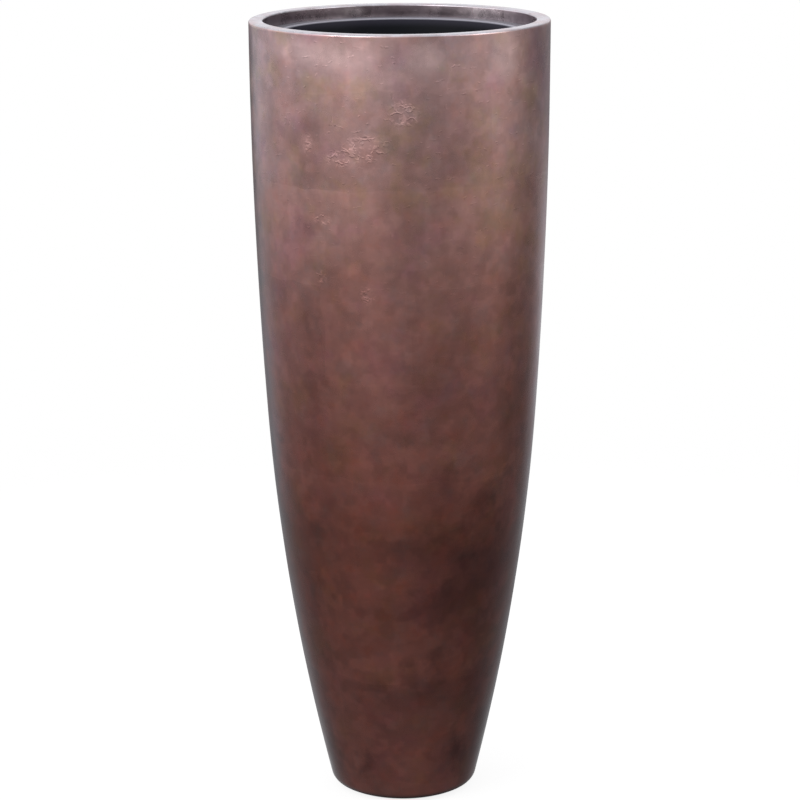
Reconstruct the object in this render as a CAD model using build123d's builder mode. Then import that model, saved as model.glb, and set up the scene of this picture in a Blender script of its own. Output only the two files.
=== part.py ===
from build123d import *
import os
from math import radians, tan

os.makedirs("parts", exist_ok=True)

# Sizes are in millimetres and angles in degrees. The planter stands on the floor at height zero,
# with its axis along Z.

# Whole planter
height = 1250.0
rim_radius = 235.0
full_turn = 360.0

# Side of the body: two arcs that run into each other at the waist, the upper one upright at the rim. The
# shares say how high the waist is, and how much of the growth from foot to rim is reached there.
foot_radius = 114.0
waist_height_share = 0.509
waist_swell_share = 0.831

# Glass-fibre shell, with a shallow recess under its base so that it stands on a flat ring
shell_wall = 5.0
foot_rounding = 21.0
recess_radius = 66.0
recess_depth = 10.0
recess_draft_angle = 15.0
drain_hole_radius = 15.0

# Rim ring, one laminate bent into a lip, an inner face, a ledge, a stiffening edge and a hidden skirt
ring_wall = 5.0
lip_width = 22.0
lip_outer_bevel = 3.0
lip_inner_bevel = 1.5
liner_sink = 20.0
stiffener_depth = 14.0
skirt_depth = 30.0
skirt_lead = 1.5
bond_gap = 0.3

# Plastic liner hung in the mouth by its flange
liner_wall = 3.0
liner_depth = 350.0
liner_draft_angle = 2.5
liner_bevel = 8.0
flange_width = 24.0
mouth_bevel = 2.5
flange_clearance = 0.6
liner_clearance = 2.0

# Rubber bung in the drain hole
bung_head_width = 7.0
bung_head_thickness = 4.0
bung_clearance = 0.2
bung_tip_length = 8.0
bung_tip_taper = 2.5

# Rubber pads glued on the standing ring
pad_count = 4
pad_radius = 9.0
pad_thickness = 3.0
pad_first_angle = 45.0

# Heights and radii that the pieces share
base_height = pad_thickness
seat_height = height - ring_wall
body_height = seat_height - base_height
swell = rim_radius - foot_radius
panel_height = base_height + recess_depth
lip_inner_radius = rim_radius - lip_width
flange_top_height = height - liner_sink
ledge_height = flange_top_height - liner_wall
flange_radius = lip_inner_radius - flange_clearance
mouth_radius = flange_radius - flange_width
ledge_inner_radius = mouth_radius + liner_wall + liner_clearance
waist_height = base_height + body_height * waist_height_share
waist_radius = foot_radius + swell * waist_swell_share


# Outer shell: one laminate that runs down the side, round the foot and up into the recess, where it stops
# at the drain hole
rim_edge = (rim_radius, seat_height)
waist_point = (waist_radius, waist_height)
foot_corner = (foot_radius, base_height)
panel_radius = recess_radius - recess_depth * tan(radians(recess_draft_angle))
downwards = (0, -1)

with BuildPart() as outer_shell:
    with BuildSketch(Plane.XZ) as shell_section:
        with BuildLine() as shell_outline:
            upper_side = TangentArc(rim_edge, waist_point, tangent=downwards)
            lower_side = TangentArc(waist_point, foot_corner, tangent=upper_side % 1)
            Polyline(
                foot_corner,
                (recess_radius, base_height),
                (panel_radius, panel_height),
                (drain_hole_radius, panel_height),
            )
            fillet(shell_outline.vertices().sort_by_distance(foot_corner)[0], radius=foot_rounding)
            offset(amount=shell_wall, side=Side.RIGHT, kind=Kind.INTERSECTION)
        make_face()
    revolve(axis=Axis.Z)
outer_shell.part.label = "outer_shell"
export_step(outer_shell.part, "parts/outer_shell.step")


# Rim ring: its lip lies on the edge of the shell, its skirt is bonded inside the shell, and the ledge at
# the foot of its inner face carries the liner
skirt_radius = rim_radius - shell_wall - bond_gap
skirt_foot_radius = skirt_radius - skirt_lead
skirt_foot_height = seat_height - skirt_depth
stiffener_height = ledge_height - stiffener_depth
ring_corners = [
    (lip_inner_radius + lip_inner_bevel, height),
    (rim_radius - lip_outer_bevel, height),
    (rim_radius, height - lip_outer_bevel),
    (rim_radius, seat_height),
    (skirt_radius, seat_height),
    (skirt_foot_radius, skirt_foot_height),
    (skirt_foot_radius - ring_wall, skirt_foot_height),
    (skirt_radius - ring_wall, seat_height),
    (lip_inner_radius + ring_wall, seat_height),
    (lip_inner_radius + ring_wall, ledge_height - ring_wall),
    (ledge_inner_radius + ring_wall, ledge_height - ring_wall),
    (ledge_inner_radius + ring_wall, stiffener_height),
    (ledge_inner_radius, stiffener_height),
    (ledge_inner_radius, ledge_height),
    (lip_inner_radius, ledge_height),
    (lip_inner_radius, height - lip_inner_bevel),
]

with BuildPart() as rim_ring:
    with BuildSketch(Plane.XZ) as ring_section:
        with BuildLine() as ring_outline:
            Polyline(ring_corners, close=True)
        make_face()
    revolve(axis=Axis.Z)
rim_ring.part.label = "rim_ring"
export_step(rim_ring.part, "parts/rim_ring.step")


# Liner: a tapered bucket with a flange that lies on the ledge
liner_base_height = flange_top_height - liner_depth
liner_floor_height = liner_base_height + liner_wall
liner_taper = (ledge_height - liner_base_height) * tan(radians(liner_draft_angle))
liner_foot_radius = mouth_radius - liner_taper
liner_corners = [
    (mouth_radius, flange_top_height - mouth_bevel),
    (mouth_radius + mouth_bevel, flange_top_height),
    (flange_radius, flange_top_height),
    (flange_radius, ledge_height),
    (mouth_radius + liner_wall, ledge_height),
    (liner_foot_radius + liner_wall, liner_base_height + liner_bevel),
    (liner_foot_radius + liner_wall - liner_bevel, liner_base_height),
    (0, liner_base_height),
    (0, liner_floor_height),
    (liner_foot_radius - liner_bevel, liner_floor_height),
    (liner_foot_radius, liner_floor_height + liner_bevel),
]

with BuildPart() as liner:
    with BuildSketch(Plane.XZ) as liner_section:
        with BuildLine() as liner_outline:
            Polyline(liner_corners, close=True)
        make_face()
    revolve(axis=Axis.Z)
liner.part.label = "liner"
export_step(liner.part, "parts/liner.step")


# Drain bung: a head under the recessed panel and a shank that fills the hole and tapers above it
bung_radius = drain_hole_radius - bung_clearance
bung_head_radius = drain_hole_radius + bung_head_width
bung_head_height = panel_height - bung_head_thickness
bung_shank_height = panel_height + shell_wall
bung_tip_height = bung_shank_height + bung_tip_length
bung_corners = [
    (0, bung_head_height),
    (bung_head_radius, bung_head_height),
    (bung_head_radius, panel_height),
    (bung_radius, panel_height),
    (bung_radius, bung_shank_height),
    (bung_radius - bung_tip_taper, bung_tip_height),
    (0, bung_tip_height),
]

with BuildPart() as drain_bung:
    with BuildSketch(Plane.XZ) as bung_section:
        with BuildLine() as bung_outline:
            Polyline(bung_corners, close=True)
        make_face()
    revolve(axis=Axis.Z)
drain_bung.part.label = "drain_bung"
export_step(drain_bung.part, "parts/drain_bung.step")


# Foot pads: evenly spaced along the middle of the flat ring between the recess and the rounding
pad_circle_radius = (recess_radius + foot_radius - foot_rounding) / 2

for number in range(pad_count):
    pad_angle = pad_first_angle + number * full_turn / pad_count
    with BuildPart() as foot_pad:
        with BuildSketch(Plane.XY) as pad_outline:
            with PolarLocations(pad_circle_radius, 1, start_angle=pad_angle):
                Circle(pad_radius)
        extrude(amount=pad_thickness)
    pad_name = f"foot_pad_{number + 1}"
    foot_pad.part.label = pad_name
    export_step(foot_pad.part, f"parts/{pad_name}.step")
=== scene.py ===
from collections import namedtuple
from math import atan2, cos, degrees, pi, radians, sin, tan

import bpy
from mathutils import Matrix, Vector


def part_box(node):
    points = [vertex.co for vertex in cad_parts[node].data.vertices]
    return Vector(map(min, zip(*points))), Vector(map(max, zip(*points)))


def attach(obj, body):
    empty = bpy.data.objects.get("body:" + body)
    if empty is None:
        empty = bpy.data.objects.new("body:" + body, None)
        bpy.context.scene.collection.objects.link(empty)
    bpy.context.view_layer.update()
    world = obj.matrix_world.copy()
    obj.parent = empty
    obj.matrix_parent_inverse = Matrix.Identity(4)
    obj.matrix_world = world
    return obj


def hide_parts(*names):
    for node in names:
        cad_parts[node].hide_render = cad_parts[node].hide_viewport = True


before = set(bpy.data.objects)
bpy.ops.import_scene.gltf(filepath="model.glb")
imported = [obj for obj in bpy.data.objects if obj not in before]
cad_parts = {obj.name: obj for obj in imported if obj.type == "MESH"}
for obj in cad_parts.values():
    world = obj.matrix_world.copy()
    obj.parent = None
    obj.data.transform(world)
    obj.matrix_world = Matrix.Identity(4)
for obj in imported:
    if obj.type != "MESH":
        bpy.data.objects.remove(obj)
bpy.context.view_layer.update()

bl_info = {
    "name": "Leaf Vase Planter",
    "version": (1, 0, 0),
    "blender": (4, 5, 0),
    "location": "View3D > Sidebar > Planter",
    "description": "Dresses a tall round planter with its metal-leaf shell, rim, liner and rubber parts",
    "category": "Add Mesh",
}

# Places taken from the frame, in metres
SHELL_LOW, SHELL_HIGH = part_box("outer_shell")
RING_LOW, RING_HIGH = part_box("rim_ring")
LINER_LOW, LINER_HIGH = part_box("liner")
BUNG_LOW, BUNG_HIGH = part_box("drain_bung")
PAD_NODES = sorted(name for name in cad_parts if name.startswith("foot_pad"))
PAD_BOXES = [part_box(name) for name in PAD_NODES]

FULL_TURN = 2 * pi
QUARTER_TURN = pi / 2
SHARP_ANGLE = radians(40)

# In metres, the plane that a piece starts as and how near each other points are merged
START_SIZE = 1e-6
SEAM_DISTANCE = START_SIZE * 20

# Steps of the modelled shapes: round a whole turn, along the shell's two arcs and round a corner
SHELL_TURN, LINER_TURN, BUNG_TURN, PAD_TURN, FLOOR_TURN = 192, 160, 64, 48, 96
UPPER_ARC, LOWER_ARC = 34, 40
FOOT_CORNER, RIM_CORNER, LINER_CORNER, RUBBER_CORNER = 12, 7, 8, 4


def metres(name, description, default):
    """A length that a user may change."""
    return bpy.props.FloatProperty(name=name, description=description, default=default, unit="LENGTH")


def slant(name, description, default):
    """An angle that a user may change."""
    return bpy.props.FloatProperty(name=name, description=description, default=default, subtype="ANGLE")


def number(name, description, default):
    """A plain number that a user may change."""
    return bpy.props.FloatProperty(name=name, description=description, default=default)


def paint(name, description, default):
    """A colour that a user may change."""
    return bpy.props.FloatVectorProperty(
        name=name, description=description, default=default, subtype="COLOR")


class ShellSizes(bpy.types.PropertyGroup):
    """Sizes of the tall outer shell."""

    rim_radius: metres("Rim radius", "Outside radius at the mouth", SHELL_HIGH.x)
    top: metres("Top", "Height of the shell's edge under the lip", SHELL_HIGH.z)
    base: metres("Base", "Height of the ring that stands on the pads", SHELL_LOW.z)
    foot_radius: metres("Foot radius", "Radius at the foot before it is rounded", 0.114)
    foot_rounding: metres("Foot rounding", "Radius of the rounded foot", 0.021)
    waist_height_share: number("Waist height", "Share of the height at which the two side arcs meet", 0.509)
    waist_swell_share: number(
        "Waist swell", "Share of the growth from foot to rim reached at the waist", 0.831)
    wall: metres("Wall", "Thickness of the laminate", 0.005)
    recess_radius: metres("Recess radius", "Radius of the recess under the base", 0.066)
    recess_depth: metres("Recess depth", "Depth of the recess under the base", 0.010)
    recess_draft: slant("Recess draft", "Slope of the recess's wall", radians(15))
    recess_rounding: metres("Recess rounding", "Radius of the recess's two edges", 0.002)
    drain_radius: metres("Drain radius", "Radius of the drain hole", 0.015)
    unevenness: metres("Unevenness", "How far the hand-laid face waves in and out", 0.0005)


class RimSizes(bpy.types.PropertyGroup):
    """Sizes of the ring that caps the mouth."""

    lip_width: metres("Lip width", "Width of the flat lip", 0.022)
    wall: metres("Wall", "Thickness of the laminate", 0.005)
    outer_rounding: metres("Outer rounding", "Radius of the lip's outer edge", 0.004)
    inner_rounding: metres("Inner rounding", "Radius of the lip's inner edge", 0.003)
    bend_rounding: metres("Bend rounding", "Radius of the hidden bends", 0.0015)
    skirt_gap: metres("Skirt gap", "Adhesive between the skirt and the shell", 0.0003)
    skirt_depth: metres("Skirt depth", "Depth of the skirt bonded in the shell", 0.030)
    skirt_lead: metres("Skirt lead", "How far the skirt leans in at its foot", 0.0015)


class LinerSizes(bpy.types.PropertyGroup):
    """Sizes of the lift-out liner."""

    wall: metres("Wall", "Thickness of the plastic", 0.003)
    flange_width: metres("Flange width", "Width of the flange that lies on the ledge", 0.024)
    ledge_clearance: metres("Ledge clearance", "Room between the liner and the ledge", 0.002)
    draft: slant("Draft", "Taper of the bucket", radians(2.5))
    mouth_rounding: metres("Mouth rounding", "Radius at the mouth of the bucket", 0.0025)
    corner_rounding: metres("Corner rounding", "Radius at the foot of the bucket", 0.010)


class RubberSizes(bpy.types.PropertyGroup):
    """Sizes of the drain bung and the foot pads."""

    shank_clearance: metres("Shank clearance", "Room round the bung in the hole", 0.0002)
    head_thickness: metres("Head thickness", "Thickness of the bung's head", 0.004)
    tip_length: metres("Tip length", "Length of the bung's tapered tip", 0.008)
    tip_taper: metres("Tip taper", "How much narrower the tip ends", 0.0025)
    edge_rounding: metres("Edge rounding", "Radius of the moulded edges", 0.0008)


class FinishColours(bpy.types.PropertyGroup):
    """Colours of the finishes."""

    # Painted highlight on the lip's upward face
    leaf_lip_highlight: paint("Leaf on the lip", "Leaf rubbed pale on the lip", (0.61, 0.60, 0.645))
    leaf_edge: paint("Leaf seen along its face", "Tint near the body's outline", (0.64, 0.66, 0.68))
    # Inside the rim: the greyer leaf is painted shade for the dark inside that the band mirrors; the paler
    # leaf shows in clouds, at a small spot, as painted light on its right side and as a painted reflection
    # over the liner
    leaf_band: paint("Leaf inside the rim", "Greyer leaf inside the rim", (0.235, 0.20, 0.23))
    leaf_band_pale: paint("Pale leaf inside the rim", "Rubbed leaf inside the rim", (0.76, 0.68, 0.72))
    # From the rim down to the foot: the leaf's own colour, with painted light near the rim and painted shade
    # growing toward the foot
    leaf_rim: paint("Leaf at the rim", "Bright leaf under the lip", (0.44, 0.285, 0.28))
    leaf_shoulder: paint("Leaf at the shoulder", "Warm leaf", (0.300, 0.164, 0.147))
    leaf_middle: paint("Leaf at the middle", "Toned leaf", (0.200, 0.092, 0.080))
    leaf_waist: paint("Leaf at the waist", "Redder leaf under the middle", (0.128, 0.049, 0.040))
    leaf_low: paint("Leaf low down", "Darkly toned leaf", (0.080, 0.0275, 0.021))
    leaf_foot: paint("Leaf at the foot", "Darkest leaf", (0.074, 0.027, 0.022))
    # The leaf's own dark clouds together with painted shade on the right side and round the foot
    leaf_dark_and_shaded: paint("Dark leaf", "Leaf in the dark clouds", (0.034, 0.012, 0.011))
    # Painted highlight on the leaf close under the lip
    leaf_highlight: paint("Pale leaf", "Rubbed leaf close under the lip", (0.66, 0.46, 0.455))
    leaf_rust: paint("Rust tint", "Tint of the redder clouds", (1.09, 0.955, 0.90))
    leaf_grey: paint("Grey tint", "Tint of the greyer clouds", (0.90, 1.04, 1.10))
    leaf_olive: paint("Olive tint", "Tint of the olive clouds", (0.965, 1.005, 0.85))
    leaf_mauve: paint("Mauve tint", "Tint of the mauve clouds", (1.01, 0.96, 1.065))
    liner: paint("Liner", "Dark plastic", (0.005, 0.006, 0.009))
    # Painted light on the flange's upward face, a painted highlight round the mouth, and painted light on the
    # wall just under the mouth
    liner_flange_lit: paint("Liner flange", "Scuffed plastic of the flange", (0.145, 0.142, 0.165))
    liner_edge_highlight: paint("Liner edge", "Plastic rubbed pale round the mouth", (0.31, 0.305, 0.355))
    liner_wall_lit: paint("Liner wall", "Dusty plastic just under the mouth", (0.034, 0.032, 0.048))
    rubber: paint("Rubber", "Black rubber", (0.018, 0.018, 0.019))
    floor: paint("Floor", "Pale studio floor", (0.80, 0.80, 0.80))


class StageSizes(bpy.types.PropertyGroup):
    """Places of the camera and the floor."""

    camera_distance: metres("Camera distance", "From the planter's axis to the camera", 4.75)
    camera_height: metres("Camera height", "Height of the camera", 1.7651)
    camera_pitch: slant("Camera pitch", "How far the camera looks down", radians(13.321))
    camera_roll: slant("Camera roll", "How far the camera leans sideways", radians(0.324))
    camera_lens: number("Lens", "Focal length in millimetres for a 36 mm frame", 137.27)
    camera_shift: number("Shift", "Sideways shift of the frame", 0.0029)
    floor_radius: metres("Floor radius", "Radius of the round floor", 2.2)
    floor_glow: number("Floor glow", "Share of the floor's brightness that shadows leave alone", 0.8)
    floor_fade: metres("Floor fade", "Radius at which the floor starts to fade out", 1.2)


def start_clean():
    """Leaves edit mode and deselects everything."""
    if bpy.context.object and bpy.context.object.mode != "OBJECT":
        bpy.ops.object.mode_set(mode="OBJECT")
    bpy.ops.object.select_all(action="DESELECT")


def swung(arm, angle):
    """The arm turned by the angle, from the outward direction towards the upward one."""
    return Vector((arm.x * cos(angle) - arm.y * sin(angle), arm.x * sin(angle) + arm.y * cos(angle)))


def tangent_arc(start, heading, end, count):
    """Points of the arc that leaves start along heading and reaches end, and its heading there."""
    chord = Vector(end) - Vector(start)
    heading = Vector(heading).normalized()
    side = Vector((-heading.y, heading.x))
    reach = chord.dot(side)
    radius = chord.length_squared / (2 * reach)
    centre = Vector(start) + side * radius
    first = Vector(start) - centre
    turn = 2 * atan2(reach, chord.dot(heading))
    points = [centre + swung(first, turn * step / count) for step in range(1, count + 1)]
    return points, swung(heading, turn)


def rounded(corners, count):
    """Outline points of corners given as (radius, height, rounding); an end corner has no rounding."""
    points = []
    for index, (across, up, rounding) in enumerate(corners):
        corner = Vector((across, up))
        if not rounding:
            points.append(corner)
            continue
        before = Vector(corners[index - 1][:2]) - corner
        after = Vector(corners[(index + 1) % len(corners)][:2]) - corner
        before.normalize()
        after.normalize()
        half = before.angle(after) / 2
        centre = corner + (before + after).normalized() * (rounding / sin(half))
        first = corner + before * (rounding / tan(half)) - centre
        last = corner + after * (rounding / tan(half)) - centre
        turn = first.angle_signed(last)
        points += [centre + swung(first, -turn * step / count) for step in range(count + 1)]
    return points


def draw_outline(name, points, centre=(0, 0)):
    """Starts a piece as one vertex and extrudes it along the points, in the plane across the axis."""
    start_clean()
    first = Vector((centre[0] + points[0][0], centre[1], points[0][1]))
    bpy.ops.mesh.primitive_plane_add(size=START_SIZE, location=first, enter_editmode=True)
    bpy.context.object.name = name
    bpy.ops.mesh.merge(type="CENTER")
    for here, there in zip(points, points[1:]):
        step = (there[0] - here[0], 0, there[1] - here[1])
        bpy.ops.mesh.extrude_region_move(TRANSFORM_OT_translate={"value": step})
    bpy.ops.mesh.select_all(action="SELECT")
    return bpy.context.object


def turn_outline(steps, centre=(0, 0)):
    """Spins the selected outline a whole turn about the axis and closes its seam and poles."""
    bpy.ops.mesh.spin(steps=steps, angle=FULL_TURN, center=(*centre, 0), axis=(0, 0, 1))
    bpy.ops.mesh.select_all(action="SELECT")
    bpy.ops.mesh.remove_doubles(threshold=SEAM_DISTANCE)
    bpy.ops.mesh.normals_make_consistent(inside=False)
    bpy.ops.object.mode_set(mode="OBJECT")
    bpy.ops.object.transform_apply(location=True, rotation=True, scale=True)


def face_outwards(piece, place, away):
    """Turns the whole mesh round if the face nearest to place doesn't look away along that direction."""
    nearest = min(piece.data.polygons, key=lambda face: (face.center - Vector(place)).length)
    if nearest.normal.dot(Vector(away)) < 0:
        bpy.ops.object.mode_set(mode="EDIT")
        bpy.ops.mesh.select_all(action="SELECT")
        bpy.ops.mesh.flip_normals()
        bpy.ops.object.mode_set(mode="OBJECT")


def thicken(piece, wall):
    """Gives an open skin its wall, inwards from its face."""
    solidify = piece.modifiers.new("Wall", "SOLIDIFY")
    solidify.thickness = wall
    solidify.offset = -1
    solidify.use_even_offset = True
    bpy.ops.object.modifier_apply(modifier=solidify.name)


def smooth(piece):
    """Shades the piece smooth, with its sharp edges left sharp."""
    bpy.ops.object.select_all(action="DESELECT")
    piece.select_set(True)
    bpy.context.view_layer.objects.active = piece
    bpy.ops.object.shade_smooth_by_angle(angle=SHARP_ANGLE)


def seat(piece, body, material, finish, *nodes):
    """Gives a finished piece its material, body and nodes."""
    piece.data.materials.clear()
    piece.data.materials.append(material)
    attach(piece, body)
    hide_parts(*nodes)


WHITE = (1.0, 1.0, 1.0)
BLACK = (0.0, 0.0, 0.0)

# How the nodes are laid out in the editor
NODES_IN_A_ROW = 12
NODE_WIDTH, NODE_HEIGHT = 200, 260

# The middle of a share or a noise, and the two values that most of a noise lies between
HALF = 0.5
NOISE_LOW, NOISE_HIGH = 0.3, 0.7


class Graph:
    """Adds nodes to one tree and links them as they are added."""

    def __init__(self, tree):
        self.tree = tree
        self.count = 0
        tree.nodes.clear()

    def add(self, kind, inputs=None, **settings):
        """Adds a node with its settings; inputs holds numbers, colours or outputs to link."""
        made = self.tree.nodes.new(kind)
        row, column = divmod(self.count, NODES_IN_A_ROW)
        made.location = (NODE_WIDTH * column, -NODE_HEIGHT * row)
        self.count += 1
        for setting, value in settings.items():
            setattr(made, setting, value)
        for key, value in (inputs or {}).items():
            if isinstance(value, bpy.types.NodeSocket):
                self.tree.links.new(value, made.inputs[key])
            else:
                made.inputs[key].default_value = value
        return made

    def math(self, operation, *values, clamp=False):
        inputs = dict(enumerate(values))
        return self.add("ShaderNodeMath", inputs, operation=operation, use_clamp=clamp).outputs[0]

    def plus(self, total, *values):
        """The sum of the values, from left to right."""
        for value in values:
            total = self.math("ADD", total, value)
        return total

    def times(self, product, *values):
        """The product of the values, from left to right."""
        for value in values:
            product = self.math("MULTIPLY", product, value)
        return product

    def minus(self, first, second):
        return self.math("SUBTRACT", first, second)

    def over(self, first, second):
        return self.math("DIVIDE", first, second)

    def length(self, across, along):
        """How far away a point is that lies so far across and so far along."""
        squares = (self.math("POWER", part, 2.0) for part in (across, along))
        return self.math("SQRT", self.plus(*squares))

    def vector(self, operation, first, second):
        return self.add("ShaderNodeVectorMath", {0: first, 1: second}, operation=operation).outputs[0]

    def join(self, x, y, z):
        return self.add("ShaderNodeCombineXYZ", {"X": x, "Y": y, "Z": z}).outputs[0]

    def split(self, vector):
        return self.add("ShaderNodeSeparateXYZ", {0: vector}).outputs

    def split_colour(self, colour):
        return self.add("ShaderNodeSeparateColor", {0: colour}).outputs

    def place(self):
        """The point's place on its object, whole and in parts."""
        place = self.add("ShaderNodeTexCoord").outputs["Object"]
        return place, self.split(place)

    def turn(self, parts):
        """How far round from the front a place lies, positive to the right."""
        return self.math("ARCTAN2", parts["X"], self.times(parts["Y"], -1.0))

    def share_round(self, turn):
        """A turn from the front as a share of a whole turn that starts behind."""
        return self.plus(self.over(turn, FULL_TURN), HALF)

    def ramp(self, value, low, high, to_low=0.0, to_high=1.0, kind="SMOOTHSTEP"):
        """Maps value from low..high to to_low..to_high, held at both ends."""
        inputs = {"Value": value, "From Min": low, "From Max": high, "To Min": to_low, "To Max": to_high}
        return self.add("ShaderNodeMapRange", inputs, interpolation_type=kind).outputs["Result"]

    def slope(self, value, low, high, to_low, to_high):
        """The same along a straight line."""
        return self.ramp(value, low, high, to_low, to_high, "LINEAR")

    def sway(self, noise, reach):
        """A noise as a move of up to the reach, either way."""
        return self.slope(noise, NOISE_LOW, NOISE_HIGH, -reach, reach)

    def noise(self, place, pattern, output="Fac"):
        """A noise by its cells to the metre, detail and roughness."""
        scale, detail, roughness = pattern
        inputs = {"Vector": place, "Scale": scale, "Detail": detail, "Roughness": roughness}
        return self.add("ShaderNodeTexNoise", inputs, noise_dimensions="3D").outputs[output]

    def colour(self, value):
        """Three numbers as a colour with its alpha; an output stays as it is."""
        return value if isinstance(value, bpy.types.NodeSocket) else (*value, 1.0)

    def blend(self, factor, first, second, kind="MIX"):
        """Mixes two colours."""
        inputs = {0: factor, 6: self.colour(first), 7: self.colour(second)}
        return self.add("ShaderNodeMix", inputs, data_type="RGBA", blend_type=kind).outputs[2]

    def colours_round(self, share, stops):
        """Colours by the share of a turn, from stops at turns from the front in degrees."""
        made = self.add("ShaderNodeValToRGB", {"Fac": share})
        paint_stops(made.color_ramp, [(turn / degrees(FULL_TURN) + HALF, colour) for turn, *colour in stops])
        made.color_ramp.interpolation = "EASE"
        return made.outputs["Color"]

    def surface(self, colour, polish, relief, depth, **settings):
        """Ends a material with its shader; depth is the share shown of a relief in metres."""
        bump = self.add("ShaderNodeBump", {"Height": relief, "Distance": 1.0, "Strength": depth})
        inputs = {"Base Color": colour, "Roughness": polish, "Normal": bump.outputs[0], **settings}
        shader = self.add("ShaderNodeBsdfPrincipled", inputs)
        self.add("ShaderNodeOutputMaterial", {"Surface": shader.outputs[0]})


def paint_stops(ramp, stops):
    """Sets a colour ramp's stops, each a share and a colour."""
    while len(ramp.elements) < len(stops):
        ramp.elements.new(HALF)
    for element, (share, colour) in zip(ramp.elements, stops):
        element.position = share
        element.color = (*colour, 1.0)


def new_material(name):
    """An empty material with a node tree, and its graph."""
    material = bpy.data.materials.new(name)
    material.use_nodes = True
    return material, Graph(material.node_tree)


# The leaf's sheets and how its patterns are unrolled, in metres round and up the planter
LEAF_SHEET = 0.1448
LEAF_FIRST_SEAM = 0.4395
UNROLL_RADIUS = 0.225
ROW_WANDER, COLUMN_WANDER = 0.007, 0.009

# The turns between which the marks fade out at the join behind
JOIN_FADE = (radians(179), radians(172))

# How the leaf's noises and heights are read. A range is where one starts and ends and then, where it has four
# numbers, what it gives there. Heights are in metres.

# Noises of the leaf: cells to the metre, detail and roughness
SHEET_NOISE = (9.0, 3.0, 0.5)
SEAM_NOISE = (26.0, 3.0, 0.5)
BROAD_NOISE = (5.5, 3.0, 0.55)
CLOUD_NOISE = (17.0, 4.0, 0.6)
TINT_NOISE = (13.0, 4.0, 0.66)
RUST_NOISE = (26.0, 4.0, 0.65)
STREAK_NOISE = (34.0, 3.0, 0.6)
LIP_HIGHLIGHT_NOISE = (34.0, 4.0, 0.6)
MOTTLE_NOISE = (210.0, 3.0, 0.6)
SPREAD_NOISE = (13.0, 2.0, 0.5)
EDGE_NOISE = (230.0, 2.0, 0.5)
BEND_NOISE = (70.0, 3.0, 0.5)
FOLD_NOISE = (95.0, 2.0, 0.5)
SMUDGE_NOISE = (90.0, 3.0, 0.5)
FLAKE_NOISE = (160.0, 3.0, 0.6)
GRAIN_NOISE = (900.0, 2.0, 0.5)

# Moves in metres that give a second noise a pattern of its own
SHEET_MOVE, TINT_MOVE, RUST_MOVE = (4.7, 2.1, 8.3), (7.3, 1.9, 3.1), (4.1, 6.7, 9.2)

# Seams: where the noise breaks them, their widths as shares of a sheet, and how bright they are
SEAM_BREAKS = (0.42, 0.66)
ROW_SEAM, COLUMN_SEAM, COLUMN_SEAM_SHARE = 0.035, 0.03, 0.6
SEAM_CONTRAST = 0.05

# Clouds: how far they move the tones up and down in metres, and how full they get. Of each tint, where in
# the noise it starts and where it is full. Rust and grey grow stronger from 0.95 m down to 0.40 m.
TONE_SWAY, CLOUD_SWAY, DARK_SHARE = 0.05, 0.03, 0.9
RUST_RANGE, GREY_RANGE = (0.50, 0.70), (0.50, 0.30)
OLIVE_RANGE, MAUVE_RANGE = (0.50, 0.68), (0.48, 0.32)
RUST_BY_HEIGHT = (0.95, 0.40, 0.60, 1.0)

# Brightness: of the sheets, of the clouds, and by height of the small blocks, the streaks and the mottling
SHEET_TONES = (0.93, 1.06)
CLOUD_TONES = (0.28, 0.72, 0.85, 1.16)
BLOCKS = {"Scale": 58.0, "Smoothness": 0.6}
BLOCKS_BY_HEIGHT = (0.80, 0.30, 0.11, 0.15)
STREAK_STRETCH = (1.0, 1.0, 0.08)
STREAKS_BY_HEIGHT = (0.45, 1.05, 0.0, 0.20)
MOTTLE_BY_HEIGHT = (0.78, 1.18, 0.02, 0.15)

# The lip with its painted highlight and the band inside the rim with its painted shade and painted light:
# heights in metres below the lip or over the liner, and the noise ranges that break them up
LIP_HIGHLIGHT_BELOW = (0.0032, 0.0010)
LIP_HIGHLIGHT_BREAKS = (0.66, 0.36, 0.45, 1.0)
BAND_REACH = (0.0022, 0.0012)
BAND_SHARE = 0.85
BAND_PALE_RANGE = (0.36, 0.60, 0.70, 1.0)
BAND_CLOUDS = (0.36, 0.64, -0.10, 0.14)
BAND_FOOT, BAND_FOOT_SHARE = (0.008, 0.001), 0.30

# Fine marks: cells to the metre, share of them kept, half length and half height in metres, greatest lean
# and a move of their own. Then their least and greatest share of that length, where their ends fade, how high
# the light side is, how low the shade, how both fade and how strong the shade is, and how ragged and how
# widely spread they are.
LEVEL_DASHES = (27.0, 0.55, 0.0078, 0.0009, 0.35, (0.0, 0.0))
SHORT_DASHES = (50.0, 0.55, 0.0032, 0.0009, 0.6, (0.57, 0.43))
UPRIGHT_DASHES = (24.0, 0.30, 0.0010, 0.0052, 0.2, (0.31, 0.77))
SPECKS = (60.0, 0.26, 0.0012, 0.0011, 1.5, (0.83, 0.19))
MARK_LENGTHS = (0.6, 1.4)
MARK_ENDS = (1.0, 0.5)
LIGHT_RISE, SHADE_DROP, SIDE_FADE, SHADE_SHARE = 0.5, 1.1, (1.1, 0.3), 0.8
EDGE_SWAY_ACROSS, EDGE_SWAY_UP = 0.0016, 0.0011
UPRIGHT_SHARE = 0.7
MARK_SPREAD = (0.32, 0.54)
MARK_BREAKS = (0.36, 0.56, 0.25, 1.0)
MARKS_BY_HEIGHT = (0.72, 1.15, 0.28, 1.7)
MARK_CONTRAST = 0.20

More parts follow.
